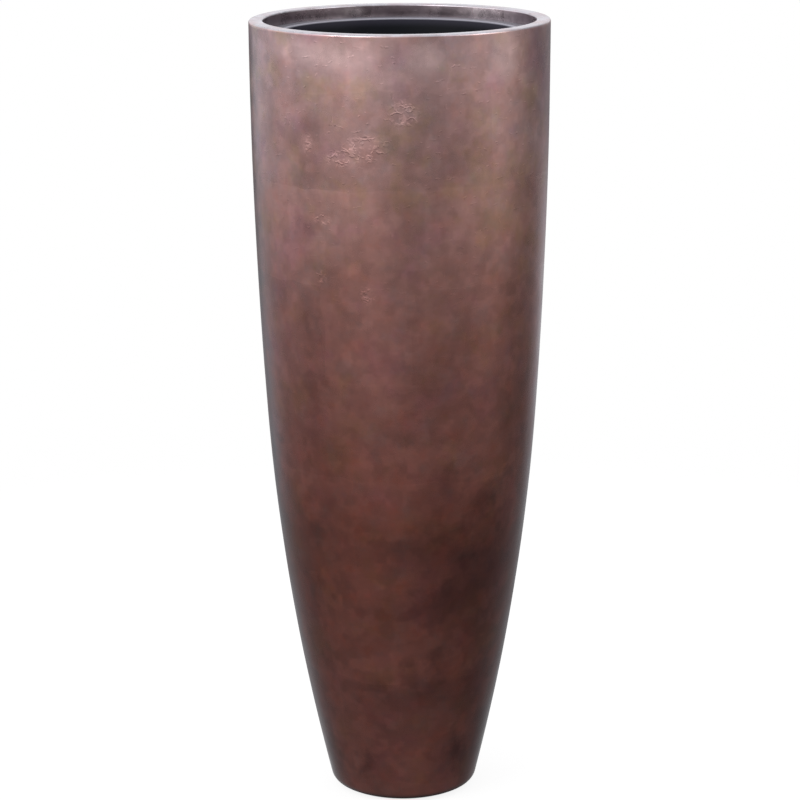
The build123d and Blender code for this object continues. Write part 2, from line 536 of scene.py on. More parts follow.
# Crinkled places: their edge, the ridges' painted highlights and the painted shade below each, the smudges
# and the loose flakes
CRINKLE_EDGE = (0.12, 0.65)
FOLD_CELLS = 74.0
FOLD_STRETCH = 0.8
FOLD_BEND = (0.034, 0.034, 0.034)
FOLD_LINE = (0.15, 0.03)
FOLD_BREAKS = (0.44, 0.58)
FOLD_SHADE_DROP, FOLD_SHADE = 0.0013, 0.75
CRINKLE_CONTRAST = 0.82
SMUDGES = (0.45, 0.60, 0.0, 0.13)
FLAKES, FLAKE_CONTRAST = (0.55, 0.62), 0.30
LEAF_LEVEL = 1.02

# Relief in metres of crinkles, grain, marks, seams and clouds, and the polish under the lacquer
LEAF_RELIEF = (0.00010, 0.000008, 0.00003, 0.00005, 0.0006)
CLOUD_POLISH, SHEET_POLISH, CRINKLE_POLISH = (0.24, 0.33), (-0.02, 0.03), 0.06
LACQUER = {"Coat Weight": 0.10, "Coat Roughness": 0.12}

# Tones of the leaf by their share of the height: its own colour with painted light toward the rim and painted
# shade toward the foot
LEAF_TONES_AND_SHADE = (
    (0.12, "leaf_foot"),
    (0.37, "leaf_low"),
    (0.47, "leaf_waist"),
    (0.64, "leaf_middle"),
    (0.80, "leaf_shoulder"),
    (0.99, "leaf_rim"),
)

# Places on the leaf, each row a turn from the front in degrees, a height, a half width and a half height in
# metres, and a strength. First the crinkled places.
CRINKLES = (
    (-13.5, 1.080, 0.054, 0.034, 1.0),
    (-24.0, 1.063, 0.032, 0.022, 0.9),
    (1.5, 1.134, 0.036, 0.034, 1.0),
    (-32.0, 0.880, 0.018, 0.022, 0.7),
    (-13.0, 0.857, 0.022, 0.028, 0.8),
    (-31.0, 0.969, 0.028, 0.015, 0.8),
    (-37.0, 1.080, 0.016, 0.034, 0.7),
    (118.0, 1.020, 0.046, 0.030, 1.0),
    (165.0, 0.790, 0.034, 0.036, 1.0),
    (-120.0, 0.930, 0.042, 0.028, 1.0),
)

# Dark clouds, most of them low down: partly the leaf's own dark patches, partly painted shade on its right
# side and round the foot
DARK_CLOUDS_AND_SHADE = (
    (46.0, 0.425, 0.100, 0.090, 0.75),
    (20.0, 0.545, 0.040, 0.060, 0.40),
    (13.0, 0.440, 0.160, 0.065, 0.58),
    (-2.0, 0.330, 0.120, 0.070, 0.28),
    (44.0, 0.500, 0.075, 0.055, 0.40),
    (52.0, 0.350, 0.100, 0.110, 0.35),
    (30.0, 0.375, 0.095, 0.068, 0.72),
    (15.0, 0.345, 0.085, 0.058, 0.62),
    (38.0, 0.300, 0.090, 0.060, 0.45),
    (16.0, 0.225, 0.070, 0.060, 0.45),
    (4.0, 0.200, 0.190, 0.075, 0.46),
    (50.0, 0.200, 0.090, 0.090, 0.50),
    (60.0, 0.090, 0.100, 0.080, 0.70),
    (40.0, 0.090, 0.060, 0.045, 0.80),
    (-27.0, 0.068, 0.050, 0.028, 0.80),
    (-64.0, 0.070, 0.110, 0.060, 0.60),
    (-72.0, 0.150, 0.070, 0.080, 0.40),
    (-44.0, 0.470, 0.070, 0.040, 0.35),
    (-100.0, 0.330, 0.080, 0.100, 0.80),
    (150.0, 0.260, 0.100, 0.120, 0.80),
)

# Pale places inside the rim: painted light on the band's lit right side, and a small pale spot at the back
# left
PALE_BAND = (
    (140.0, 1.240, 0.140, 0.050, 1.0),
    (-160.0, 1.240, 0.030, 0.012, 1.0),
)

# Painted highlights on the leaf under the lip
PAINTED_HIGHLIGHTS = (
    (-30.0, 1.220, 0.120, 0.032, 0.72),
    (-4.0, 1.190, 0.070, 0.055, 0.25),
    (9.0, 1.215, 0.035, 0.038, 0.75),
    (43.0, 1.212, 0.040, 0.066, 0.60),
)


# What the leaf's patterns read at a point
Point = namedtuple("Point", "place around up out height open_leaf")


def leaf_places(g):
    """A point's place, how far round, up the leaf and out it is, its height, and 0 at the join behind."""
    place, parts = g.place()
    turn = g.turn(parts)
    around = g.times(turn, UNROLL_RADIUS)
    out = g.length(parts["X"], parts["Y"])
    up = g.minus(g.plus(parts["Z"], SHELL_HIGH.x), out)
    open_leaf = g.ramp(g.math("ABSOLUTE", turn), *JOIN_FADE)
    return Point(place, around, up, out, parts["Z"], open_leaf)


def spots(g, around, height, places):
    """Sum of soft round spots at listed places, 1 at most."""
    total = 0.0
    for turn, up, half_width, half_height, strength in places:
        across = g.over(g.minus(around, radians(turn) * UNROLL_RADIUS), half_width)
        along = g.over(g.minus(height, up), half_height)
        total = g.plus(total, g.ramp(g.length(across, along), 1.0, 0.0, 0.0, strength))
    return g.math("MINIMUM", total, 1.0)


def stamps(g, around, up, kind):
    """Small scattered marks, a painted highlight above and painted shade below: a share of them is kept, each
    turned a little.
    """
    density, kept, half_length, half_height, tilt, (shift_across, shift_up) = kind
    across = g.plus(around, shift_across)
    along = g.plus(up, shift_up)
    cells = g.add("ShaderNodeTexVoronoi", {"Vector": g.join(across, along, 0.0), "Scale": density},
                  voronoi_dimensions="2D").outputs
    centre = g.split(cells["Position"])
    lots = g.split_colour(cells["Color"])
    right = g.minus(across, centre["X"])
    above = g.minus(along, centre["Y"])
    lean = g.slope(lots["Green"], 0.0, 1.0, -tilt, tilt)
    shortest, longest = (share * half_length for share in MARK_LENGTHS)
    far = g.over(g.plus(right, g.times(above, lean)), g.slope(lots["Blue"], 0.0, 1.0, shortest, longest))
    high = g.over(g.minus(above, g.times(right, lean)), half_height)
    if half_height > half_length:
        far, high = high, far
    light = g.ramp(g.math("ABSOLUTE", g.minus(high, LIGHT_RISE)), *SIDE_FADE)
    dark = g.ramp(g.math("ABSOLUTE", g.plus(high, SHADE_DROP)), *SIDE_FADE)
    body = g.times(g.ramp(g.math("ABSOLUTE", far), *MARK_ENDS), g.math("LESS_THAN", lots["Red"], kept))
    return g.times(g.minus(light, g.times(dark, SHADE_SHARE)), body)


def folds(g, point, drop):
    """Painted highlights along the ridges of crumpled leaf, as thin broken lines; drop lowers them for the
    painted shade beside a ridge.
    """
    place = g.join(g.times(point.around, FOLD_STRETCH), 0.0, g.plus(point.up, drop))
    bend = g.vector("MULTIPLY", g.noise(place, BEND_NOISE, "Color"), FOLD_BEND)
    cells = g.add("ShaderNodeTexVoronoi", {"Vector": g.vector("ADD", place, bend), "Scale": FOLD_CELLS},
                  feature="DISTANCE_TO_EDGE")
    lines = g.ramp(cells.outputs["Distance"], *FOLD_LINE)
    return g.times(lines, g.ramp(g.noise(place, FOLD_NOISE), *FOLD_BREAKS))


def leaf_sheets(g, point):
    """Rows of square sheets, each row shifted, with uneven edges: a lot for each sheet, and the seams."""
    wander = g.noise(point.place, SHEET_NOISE)
    wander_more = g.noise(g.vector("ADD", point.place, SHEET_MOVE), SHEET_NOISE)
    row_place = g.over(g.minus(g.plus(point.up, g.sway(wander, ROW_WANDER)), LEAF_FIRST_SEAM), LEAF_SHEET)
    row = g.math("FLOOR", row_place)
    row_shift = g.add("ShaderNodeTexWhiteNoise", {"W": row}, noise_dimensions="1D").outputs["Value"]
    around_uneven = g.plus(point.around, g.sway(wander_more, COLUMN_WANDER))
    column_place = g.plus(g.over(around_uneven, LEAF_SHEET), row_shift)
    corner = g.join(row, g.math("FLOOR", column_place), 3.0)
    lot = g.add("ShaderNodeTexWhiteNoise", {"Vector": corner}, noise_dimensions="3D").outputs["Value"]
    breaks = g.ramp(g.noise(point.place, SEAM_NOISE), *SEAM_BREAKS)
    row_seam = g.times(g.ramp(g.math("PINGPONG", row_place, HALF), ROW_SEAM, 0.0), breaks)
    column_seam = g.times(g.ramp(g.math("PINGPONG", column_place, HALF), COLUMN_SEAM, 0.0),
                          g.times(breaks, COLUMN_SEAM_SHARE))
    return lot, g.math("MAXIMUM", row_seam, column_seam)


def leaf_marks(g, point):
    """Level dashes, upright ones and specks, each with a painted highlight on one side and painted shade on
    the other.
    """
    edges = g.split_colour(g.noise(point.place, EDGE_NOISE, "Color"))
    across = g.plus(point.around, g.sway(edges["Red"], EDGE_SWAY_ACROSS))
    along = g.plus(point.up, g.sway(edges["Green"], EDGE_SWAY_UP))
    kinds = (LEVEL_DASHES, SHORT_DASHES, UPRIGHT_DASHES, SPECKS)
    level, short, upright, specks = (stamps(g, across, along, kind) for kind in kinds)
    marks = g.plus(level, g.times(upright, UPRIGHT_SHARE), g.plus(short, specks))
    spread = g.ramp(g.noise(point.place, SPREAD_NOISE), *MARK_SPREAD)
    spread = g.times(spread, point.open_leaf, g.ramp(edges["Blue"], *MARK_BREAKS))
    return g.times(marks, spread, g.ramp(point.height, *MARKS_BY_HEIGHT))


def leaf_colour(g, point, clouds, colours):
    """Colour up the height, with painted light toward the rim and painted shade toward the foot, the clouds
    moving its bounds, darkening and tinting it, and painted highlights under and on the lip.
    """
    broad = g.noise(point.place, BROAD_NOISE)
    swayed_height = g.plus(point.height, g.sway(broad, TONE_SWAY))
    # The leaf's own colour up the height, painted lighter toward the rim and darker toward the foot as
    # painted light and shade
    tones_and_shade = g.add("ShaderNodeValToRGB", {"Fac": g.over(swayed_height, RING_HIGH.z)})
    paint_stops(tones_and_shade.color_ramp, [(share, getattr(colours, name)) for share, name in LEAF_TONES_AND_SHADE])
    # Dark clouds, partly painted shade on the right side and round the foot
    dark = spots(g, point.around, g.plus(point.height, g.sway(clouds, CLOUD_SWAY)), DARK_CLOUDS_AND_SHADE)
    leaf = g.blend(g.times(dark, DARK_SHARE), tones_and_shade.outputs["Color"], colours.leaf_dark_and_shaded)
    rust = g.noise(g.vector("ADD", point.place, RUST_MOVE), RUST_NOISE)
    tint = g.noise(g.vector("ADD", point.place, TINT_MOVE), TINT_NOISE)
    rust_share = g.ramp(point.height, *RUST_BY_HEIGHT)
    for noise, bounds, share, colour in (
        (rust, RUST_RANGE, rust_share, colours.leaf_rust),
        (rust, GREY_RANGE, rust_share, colours.leaf_grey),
        (tint, OLIVE_RANGE, 1.0, colours.leaf_olive),
        (tint, MAUVE_RANGE, 1.0, colours.leaf_mauve),
    ):
        leaf = g.blend(g.ramp(noise, *bounds, 0.0, share), leaf, colour, "MULTIPLY")
    # Painted highlights under the lip
    leaf = g.blend(spots(g, point.around, point.height, PAINTED_HIGHLIGHTS), leaf, colours.leaf_highlight)
    inside = g.times(g.ramp(point.out, *(LINER_HIGH.x + reach for reach in BAND_REACH)),
                     g.math("GREATER_THAN", point.height, RING_LOW.z))
    leaf = g.blend(g.times(inside, BAND_SHARE), leaf, band_colour(g, point, clouds, colours))
    # A painted highlight on the lip, broken up by a noise
    on_lip = g.ramp(point.height, *(RING_HIGH.z - below for below in LIP_HIGHLIGHT_BELOW))
    broken_highlight = g.ramp(g.noise(point.place, LIP_HIGHLIGHT_NOISE), *LIP_HIGHLIGHT_BREAKS)
    return g.blend(g.times(on_lip, broken_highlight), leaf, colours.leaf_lip_highlight)


def band_colour(g, point, clouds, colours):
    """Leaf inside the rim, greyed by painted shade, and paler in clouds, at a small spot, with painted light
    on its right side and close over the liner as a painted reflection of the flange.
    """
    paler = g.times(spots(g, point.around, point.height, PALE_BAND), g.ramp(clouds, *BAND_PALE_RANGE))
    # Paler close over the liner: a painted reflection of the flange
    foot = g.ramp(point.height, *(LINER_HIGH.z + above for above in BAND_FOOT), 0.0, BAND_FOOT_SHARE)
    paler = g.math("ADD", g.math("MAXIMUM", paler, foot), g.slope(clouds, *BAND_CLOUDS), clamp=True)
    return g.blend(paler, colours.leaf_band, colours.leaf_band_pale)


def leaf_tone(g, point, clouds, lot, seam):
    """Brightness by sheet, cloud, small block and streak, with mottling and the seams."""
    blocks = g.add("ShaderNodeTexVoronoi", {"Vector": point.place, **BLOCKS},
                   feature="SMOOTH_F1", distance="CHEBYCHEV").outputs["Color"]
    tone = g.times(g.slope(lot, 0.0, 1.0, *SHEET_TONES), g.slope(clouds, *CLOUD_TONES))
    patchy = g.times(g.ramp(point.height, *BLOCKS_BY_HEIGHT), g.minus(g.split_colour(blocks)["Red"], HALF))
    tone = g.times(tone, g.plus(g.times(patchy, 2.0), 1.0))
    streaks = g.noise(g.vector("MULTIPLY", point.place, STREAK_STRETCH), STREAK_NOISE)
    streaks = g.times(g.minus(streaks, HALF), g.ramp(point.height, *STREAKS_BY_HEIGHT))
    tone = g.times(tone, g.plus(streaks, 1.0))
    mottle = g.minus(g.noise(point.place, MOTTLE_NOISE), HALF)
    mottle = g.times(mottle, g.ramp(point.height, *MOTTLE_BY_HEIGHT))
    return g.plus(tone, g.plus(mottle, g.times(seam, SEAM_CONTRAST)))


def leaf_material(name, colours, edge_tint):
    """Hand-laid metal leaf under a satin lacquer: sheets, clouds, streaks, dashes and crinkles."""
    material, g = new_material(name)
    point = leaf_places(g)
    clouds = g.noise(point.place, CLOUD_NOISE)
    lot, seam = leaf_sheets(g, point)
    marks = leaf_marks(g, point)

    # Crinkled places, where the leaf folded as it was laid: painted highlights along the ridges with painted
    # shade beside them
    crinkled = g.ramp(spots(g, point.around, point.height, CRINKLES), *CRINKLE_EDGE)
    crinkles = g.minus(folds(g, point, 0.0), g.times(folds(g, point, FOLD_SHADE_DROP), FOLD_SHADE))
    crinkles = g.times(crinkles, crinkled)
    smudges = g.times(crinkled, g.ramp(g.noise(point.place, SMUDGE_NOISE), *SMUDGES))
    flakes = g.times(crinkled, g.ramp(g.noise(point.place, FLAKE_NOISE), *FLAKES))
    tone = g.times(leaf_tone(g, point, clouds, lot, seam), g.plus(smudges, LEAF_LEVEL))
    tone = g.plus(tone, g.times(marks, MARK_CONTRAST), g.times(crinkles, CRINKLE_CONTRAST),
                  g.times(flakes, FLAKE_CONTRAST))
    grey = g.add("ShaderNodeCombineColor", {0: tone, 1: tone, 2: tone}).outputs[0]
    leaf = g.blend(1.0, leaf_colour(g, point, clouds, colours), grey, "MULTIPLY")

    grain = g.noise(point.place, GRAIN_NOISE)
    patterns = (crinkles, grain, marks, seam, clouds)
    relief = g.plus(*(g.times(pattern, height) for pattern, height in zip(patterns, LEAF_RELIEF)))
    polish = g.plus(g.slope(clouds, NOISE_LOW, NOISE_HIGH, *CLOUD_POLISH),
                    g.slope(lot, 0.0, 1.0, *SHEET_POLISH), g.times(crinkled, CRINKLE_POLISH))
    g.surface(leaf, polish, relief, 1.0, **LACQUER, **{"Metallic": 1.0, "Specular Tint": g.colour(edge_tint)})
    return material


def shell_leaf_material(colours):
    """The leaf on the body, tinted where it is seen along its face."""
    return leaf_material("metal_leaf", colours, colours.leaf_edge)


def rim_leaf_material(colours):
    """The same leaf on the rim, which stays bright where it is seen along its face."""
    return leaf_material("metal_leaf_rim", colours, WHITE)


# The liner's plastic: its noises, how pale its dust is, and by their depths in metres under the flange's face
# or their distances out from the mouth the places of painted light on the wall and the flange and of the
# painted highlight round the mouth
PLASTIC_CLOUDS, PLASTIC_GRAIN, PLASTIC_DUST = (14.0, 4.0, 0.5), (700.0, 2.0, 0.5), (45.0, 5.0, 0.65)
DUST_RANGE = (0.5, 0.75, 0.0, 0.25)
DUST_PALENESS = 2.6
LIT_WALL, LIT_FLANGE, EDGE_HIGHLIGHT = (0.016, 0.002), (0.0022, 0.0004), (0.003, 0.001)
EDGE_HIGHLIGHT_OUT = (0.0050, 0.0028)
PLASTIC_POLISH = (0.36, 0.5)
PLASTIC_GRAIN_RELIEF, PLASTIC_CLOUD_RELIEF, PLASTIC_DEPTH = 0.00004, 0.0006, 0.8
PLASTIC_GLOSS = 0.18


def liner_material(colours):
    """Dark moulded plastic with a fine grain and paler dust, with painted light on the wall just under the
    mouth and on the flange, and a painted highlight round the mouth.
    """
    material, g = new_material("dark_plastic")
    place, parts = g.place()
    clouds = g.noise(place, PLASTIC_CLOUDS)
    dust = g.ramp(g.noise(place, PLASTIC_DUST), *DUST_RANGE)
    colour = g.blend(dust, colours.liner, tuple(DUST_PALENESS * part for part in colours.liner))
    level = g.join(parts["X"], parts["Y"], 0.0)
    out = g.add("ShaderNodeVectorMath", {0: level}, operation="LENGTH").outputs["Value"]
    mouth = LINER_HIGH.x - bpy.context.scene.planter_liner.flange_width
    lit_wall, on_flange, on_top = (g.ramp(parts["Z"], *(LINER_HIGH.z - depth for depth in depths))
                                for depths in (LIT_WALL, LIT_FLANGE, EDGE_HIGHLIGHT))
    on_edge = g.times(g.ramp(out, *(mouth + away for away in EDGE_HIGHLIGHT_OUT)), on_top)
    # Painted light on the wall under the mouth and on the flange, and a painted highlight round the mouth
    colour = g.blend(lit_wall, colour, colours.liner_wall_lit)
    colour = g.blend(on_flange, colour, colours.liner_flange_lit)
    colour = g.blend(on_edge, colour, colours.liner_edge_highlight)
    relief = g.plus(g.times(g.noise(place, PLASTIC_GRAIN), PLASTIC_GRAIN_RELIEF),
                    g.times(clouds, PLASTIC_CLOUD_RELIEF))
    polish = g.slope(clouds, NOISE_LOW, NOISE_HIGH, *PLASTIC_POLISH)
    g.surface(colour, polish, relief, PLASTIC_DEPTH, **{"Specular IOR Level": PLASTIC_GLOSS})
    return material


# The rubber's noises, its dust, its grain in metres and its polish
RUBBER_CLOUDS, RUBBER_GRAIN = (120.0, 4.0, 0.5), (2500.0, 2.0, 0.5)
RUBBER_DUST, RUBBER_PALENESS = (0.45, 0.75, 0.0, 0.5), 2.2
RUBBER_RELIEF = 0.00003
RUBBER_POLISH = (0.62, 0.8)


def rubber_material(colours):
    """Black rubber with a dull, slightly dusty face."""
    material, g = new_material("black_rubber")
    place = g.add("ShaderNodeTexCoord").outputs["Object"]
    clouds = g.noise(place, RUBBER_CLOUDS)
    pale = tuple(RUBBER_PALENESS * part for part in colours.rubber)
    colour = g.blend(g.ramp(clouds, *RUBBER_DUST), colours.rubber, pale)
    relief = g.times(g.noise(place, RUBBER_GRAIN), RUBBER_RELIEF)
    g.surface(colour, g.slope(clouds, NOISE_LOW, NOISE_HIGH, *RUBBER_POLISH), relief, 1.0)
    return material


def made_once(name, maker):
    """The material of that name, made the first time it is asked for."""
    return bpy.data.materials.get(name) or maker(bpy.context.scene.planter_colours)


# The point up the side that gives the foot's rounding its direction, in metres from the foot's corner
SIDE_POINT = 0.5

# The hand-laid face: how far from rim and foot its waves fade, their size, and the grey that stays in place
WAVE_FADE = 0.06
WAVE_SIZE = 0.16
WAVE_LEVEL = 0.2


def shell_outline(sizes):
    """Face of the shell from the rim down its side, round the foot and into the recess to the drain hole."""
    swell = sizes.rim_radius - sizes.foot_radius
    waist = (sizes.foot_radius + swell * sizes.waist_swell_share,
             sizes.base + (sizes.top - sizes.base) * sizes.waist_height_share)
    rim = (sizes.rim_radius, sizes.top)
    foot = (sizes.foot_radius, sizes.base)
    upper, heading = tangent_arc(rim, (0, -1), waist, UPPER_ARC)
    lower, heading = tangent_arc(waist, heading, foot, LOWER_ARC)

    # The side stops where the rounding of the foot's corner starts
    steepness = abs(atan2(heading.x, heading.y)) - QUARTER_TURN
    rounding_reach = sizes.foot_rounding / tan((pi - steepness) / 2)
    side = [Vector(rim)] + upper + [point for point in lower if point.y > sizes.base + rounding_reach]
    above = Vector(foot) - heading * SIDE_POINT
    panel_height = sizes.base + sizes.recess_depth
    panel_radius = sizes.recess_radius - sizes.recess_depth * tan(sizes.recess_draft)
    underside = rounded([
        (above.x, above.y, 0),
        (*foot, sizes.foot_rounding),
        (sizes.recess_radius, sizes.base, sizes.recess_rounding),
        (panel_radius, panel_height, sizes.recess_rounding),
        (sizes.drain_radius, panel_height, 0),
    ], FOOT_CORNER)
    return side + underside[1:]


class PLANTER_OT_shell(bpy.types.Operator):
    """Models the tall outer shell with its leaf finish"""

    bl_idname = "planter.shell"
    bl_label = "Outer shell"

    def execute(self, context):
        sizes = context.scene.planter_shell
        piece = draw_outline("leaf_shell", shell_outline(sizes))
        turn_outline(SHELL_TURN)
        face_outwards(piece, (0, -sizes.rim_radius, sizes.top), (0, -1, 0))
        self.wave(piece, sizes)
        thicken(piece, sizes.wall)
        smooth(piece)
        seat(piece, "body", made_once("metal_leaf", shell_leaf_material), "leaf", "outer_shell")
        return {"FINISHED"}

    def wave(self, piece, sizes):
        """Makes the face slightly uneven, fading out at the rim and the foot so that both still seat."""
        group = piece.vertex_groups.new(name="open_face")
        for vertex in piece.data.vertices:
            from_rim = (sizes.top - vertex.co.z) / WAVE_FADE
            from_foot = (vertex.co.z - sizes.base - sizes.foot_rounding) / WAVE_FADE
            group.add([vertex.index], max(0.0, min(1.0, from_rim, from_foot)), "REPLACE")
        clouds = bpy.data.textures.new("hand_laid", "CLOUDS")
        clouds.noise_scale = WAVE_SIZE
        clouds.noise_depth = 1
        displace = piece.modifiers.new("Hand laid", "DISPLACE")
        displace.texture = clouds
        displace.texture_coords = "LOCAL"
        displace.vertex_group = group.name
        displace.strength = -sizes.unevenness
        displace.mid_level = WAVE_LEVEL
        bpy.ops.object.modifier_apply(modifier=displace.name)
        piece.vertex_groups.clear()


class PLANTER_OT_rim(bpy.types.Operator):
    """Models the ring that caps the mouth and carries the liner"""

    bl_idname = "planter.rim"
    bl_label = "Rim ring"

    def execute(self, context):
        sizes = context.scene.planter_rim
        shell = context.scene.planter_shell
        liner = context.scene.planter_liner
        top, edge = RING_HIGH.z, RING_HIGH.x
        inner = edge - sizes.lip_width
        ledge = LINER_HIGH.z - liner.wall
        ledge_inner = LINER_HIGH.x - liner.flange_width + liner.wall + liner.ledge_clearance
        skirt = shell.rim_radius - shell.wall - sizes.skirt_gap
        skirt_foot = top - sizes.wall - sizes.skirt_depth
        under = top - sizes.wall
        outline = rounded([
            (inner, top, sizes.inner_rounding),
            (edge, top, sizes.outer_rounding),
            (edge, under, 0),
            (skirt, under, 0),
            (skirt - sizes.skirt_lead, skirt_foot, 0),
            (skirt - sizes.skirt_lead - sizes.wall, skirt_foot, 0),
            (skirt - sizes.wall, under, sizes.bend_rounding),
            (inner + sizes.wall, under, sizes.bend_rounding),
            (inner + sizes.wall, ledge - sizes.wall, sizes.bend_rounding),
            (ledge_inner + sizes.wall, ledge - sizes.wall, sizes.bend_rounding),
            (ledge_inner + sizes.wall, RING_LOW.z, 0),
            (ledge_inner, RING_LOW.z, 0),
            (ledge_inner, ledge, sizes.bend_rounding),
            (inner, ledge, 0),
        ], RIM_CORNER)
        outline.append(outline[0])
        piece = draw_outline("leaf_rim", outline)
        turn_outline(SHELL_TURN)
        smooth(piece)
        seat(piece, "body", made_once("metal_leaf_rim", rim_leaf_material), "leaf", "rim_ring")
        return {"FINISHED"}


class PLANTER_OT_liner(bpy.types.Operator):
    """Models the dark lift-out liner"""

    bl_idname = "planter.liner"
    bl_label = "Liner"

    def execute(self, context):
        sizes = context.scene.planter_liner
        top, base = LINER_HIGH.z, LINER_LOW.z
        mouth = LINER_HIGH.x - sizes.flange_width
        floor_height = base + sizes.wall
        taper = (top - sizes.wall - base) * tan(sizes.draft)
        outline = rounded([
            (LINER_HIGH.x, top, 0),
            (mouth, top, sizes.mouth_rounding),
            (mouth - taper, floor_height, sizes.corner_rounding),
            (0, floor_height, 0),
        ], LINER_CORNER)
        piece = draw_outline("dark_liner", outline)
        turn_outline(LINER_TURN)
        face_outwards(piece, (0, 0, floor_height), (0, 0, 1))
        thicken(piece, sizes.wall)
        smooth(piece)
        seat(piece, "liner", made_once("dark_plastic", liner_material), "liner", "liner")
        return {"FINISHED"}


class PLANTER_OT_rubber(bpy.types.Operator):
    """Models the drain bung and the foot pads"""

    bl_idname = "planter.rubber"
    bl_label = "Rubber parts"

    def execute(self, context):
        sizes = context.scene.planter_rubber
        shell = context.scene.planter_shell
        material = made_once("black_rubber", rubber_material)
        shank = shell.drain_radius - sizes.shank_clearance
        head_top = BUNG_LOW.z + sizes.head_thickness
        edge = sizes.edge_rounding
        outline = rounded([
            (0, BUNG_LOW.z, 0),
            (BUNG_HIGH.x, BUNG_LOW.z, edge),
            (BUNG_HIGH.x, head_top, edge),
            (shank, head_top, 0),
            (shank, BUNG_HIGH.z - sizes.tip_length, 0),
            (shank - sizes.tip_taper, BUNG_HIGH.z, edge),
            (0, BUNG_HIGH.z, 0),
        ], RUBBER_CORNER)
        bung = draw_outline("rubber_bung", outline)
        turn_outline(BUNG_TURN)
        smooth(bung)
        seat(bung, "bung", material, "rubber", "drain_bung")
        for node, (low, high) in zip(PAD_NODES, PAD_BOXES):
            centre = (low + high) / 2
            radius = (high.x - low.x) / 2
            corners = [(0, low.z, 0), (radius, low.z, edge), (radius, high.z, edge), (0, high.z, 0)]
            pad = draw_outline(node.replace("foot", "rubber"), rounded(corners, RUBBER_CORNER), centre)
            turn_outline(PAD_TURN, centre.to_2d())
            smooth(pad)
            seat(pad, "body", material, "rubber", node)
        return {"FINISHED"}


# Colours of the studio's walls by the turn from the front, in degrees, positive to the right
LOW_WALLS = (
    (-180, 0.56, 0.56, 0.58),
    (-157, 0.45, 0.50, 0.53),
    (-148, 0.81, 0.90, 0.96),
    (-139, 1.00, 1.11, 1.18),
    (-128, 0.95, 1.03, 1.08),
    (-112, 0.83, 0.85, 0.88),
    (-95, 0.92, 0.91, 0.93),
    (-80, 0.67, 0.66, 0.67),
    (-62, 0.82, 0.81, 0.81),
    (-45, 0.90, 0.89, 0.88),
    (-34, 1.00, 0.98, 0.98),
    (-22, 0.97, 0.95, 0.95),
    (-10, 0.74, 0.73, 0.73),
    (8, 0.58, 0.57, 0.57),
    (42, 0.59, 0.58, 0.58),
    (60, 0.72, 0.70, 0.69),
    (76, 0.90, 0.87, 0.85),
    (90, 0.72, 0.70, 0.68),
    (104, 0.54, 0.53, 0.51),
    (130, 0.60, 0.60, 0.60),
    (146, 1.02, 1.02, 1.07),
    (158, 1.12, 1.12, 1.17),
    (180, 0.56, 0.56, 0.58),
)
HIGH_WALLS = (
    (-180, 1.00, 0.99, 1.03),
    (-150, 1.02, 1.01, 1.04),
    (-95, 1.50, 1.47, 1.50),
    (-40, 1.15, 1.13, 1.13),
    (0, 0.60, 0.59, 0.59),
    (40, 0.48, 0.47, 0.47),
    (76, 0.96, 0.93, 0.91),
    (104, 0.46, 0.46, 0.46),
    (140, 0.34, 0.34, 0.35),
    (160, 0.95, 0.95, 0.98),
    (180, 1.00, 0.99, 1.03),
)

# The floor's brightness in what the leaf mirrors, by the same turn
FLOOR_SHADES = (
    (-180, 0.42, 0.42, 0.43),
    (-152, 0.47, 0.47, 0.48),
    (-125, 0.86, 0.86, 0.87),
    (-90, 0.88, 0.88, 0.88),
    (-48, 1.10, 1.09, 1.09),
    (-18, 1.18, 1.17, 1.17),
    (8, 1.08, 1.08, 1.08),
    (35, 0.84, 0.83, 0.83),
    (65, 0.62, 0.61, 0.61),
    (115, 0.63, 0.63, 0.63),
    (150, 0.48, 0.48, 0.49),
    (180, 0.42, 0.42, 0.43),
)

# The studio's corners: the turns over which each begins, and by the rise of the light's direction the share
# of light that the left one takes away and the shares, multiplied, that the right one keeps
LEFT_CORNER, LEFT_DIMMING = (radians(-148), radians(-159)), (-0.24, -0.13, 0.0, -0.70)
RIGHT_CORNER = (radians(106), radians(122))
PATCH_FOOT, PATCH_TOP = (-0.255, -0.225, 0.70, 1.0), (-0.190, -0.145, 1.02, 0.36)
WALLS_CHANGE = (-0.02, 0.06)
CEILING_STARTS = (0.35, 0.85)
CEILING_COLOUR = (0.95, 0.95, 0.97)

# The floor: how strongly it glows, and in metres out from the ring that stands on it, where its glow starts
# and where its contact shade fades
FLOOR_GLOW = 1.10
GLOW_STARTS, SHADE_FADES = (-0.001, 0.005), (0.006, 0.034)

# Lamps: name, place and size in metres, and watts
LAMPS = (
    ("key", (-1.7, -1.9, 3.2), 1.8, 34.0),
    ("fill", (2.2, -0.9, 2.6), 1.5, 14.0),
)
LAMP_AIM = (0, 0, 0.6)


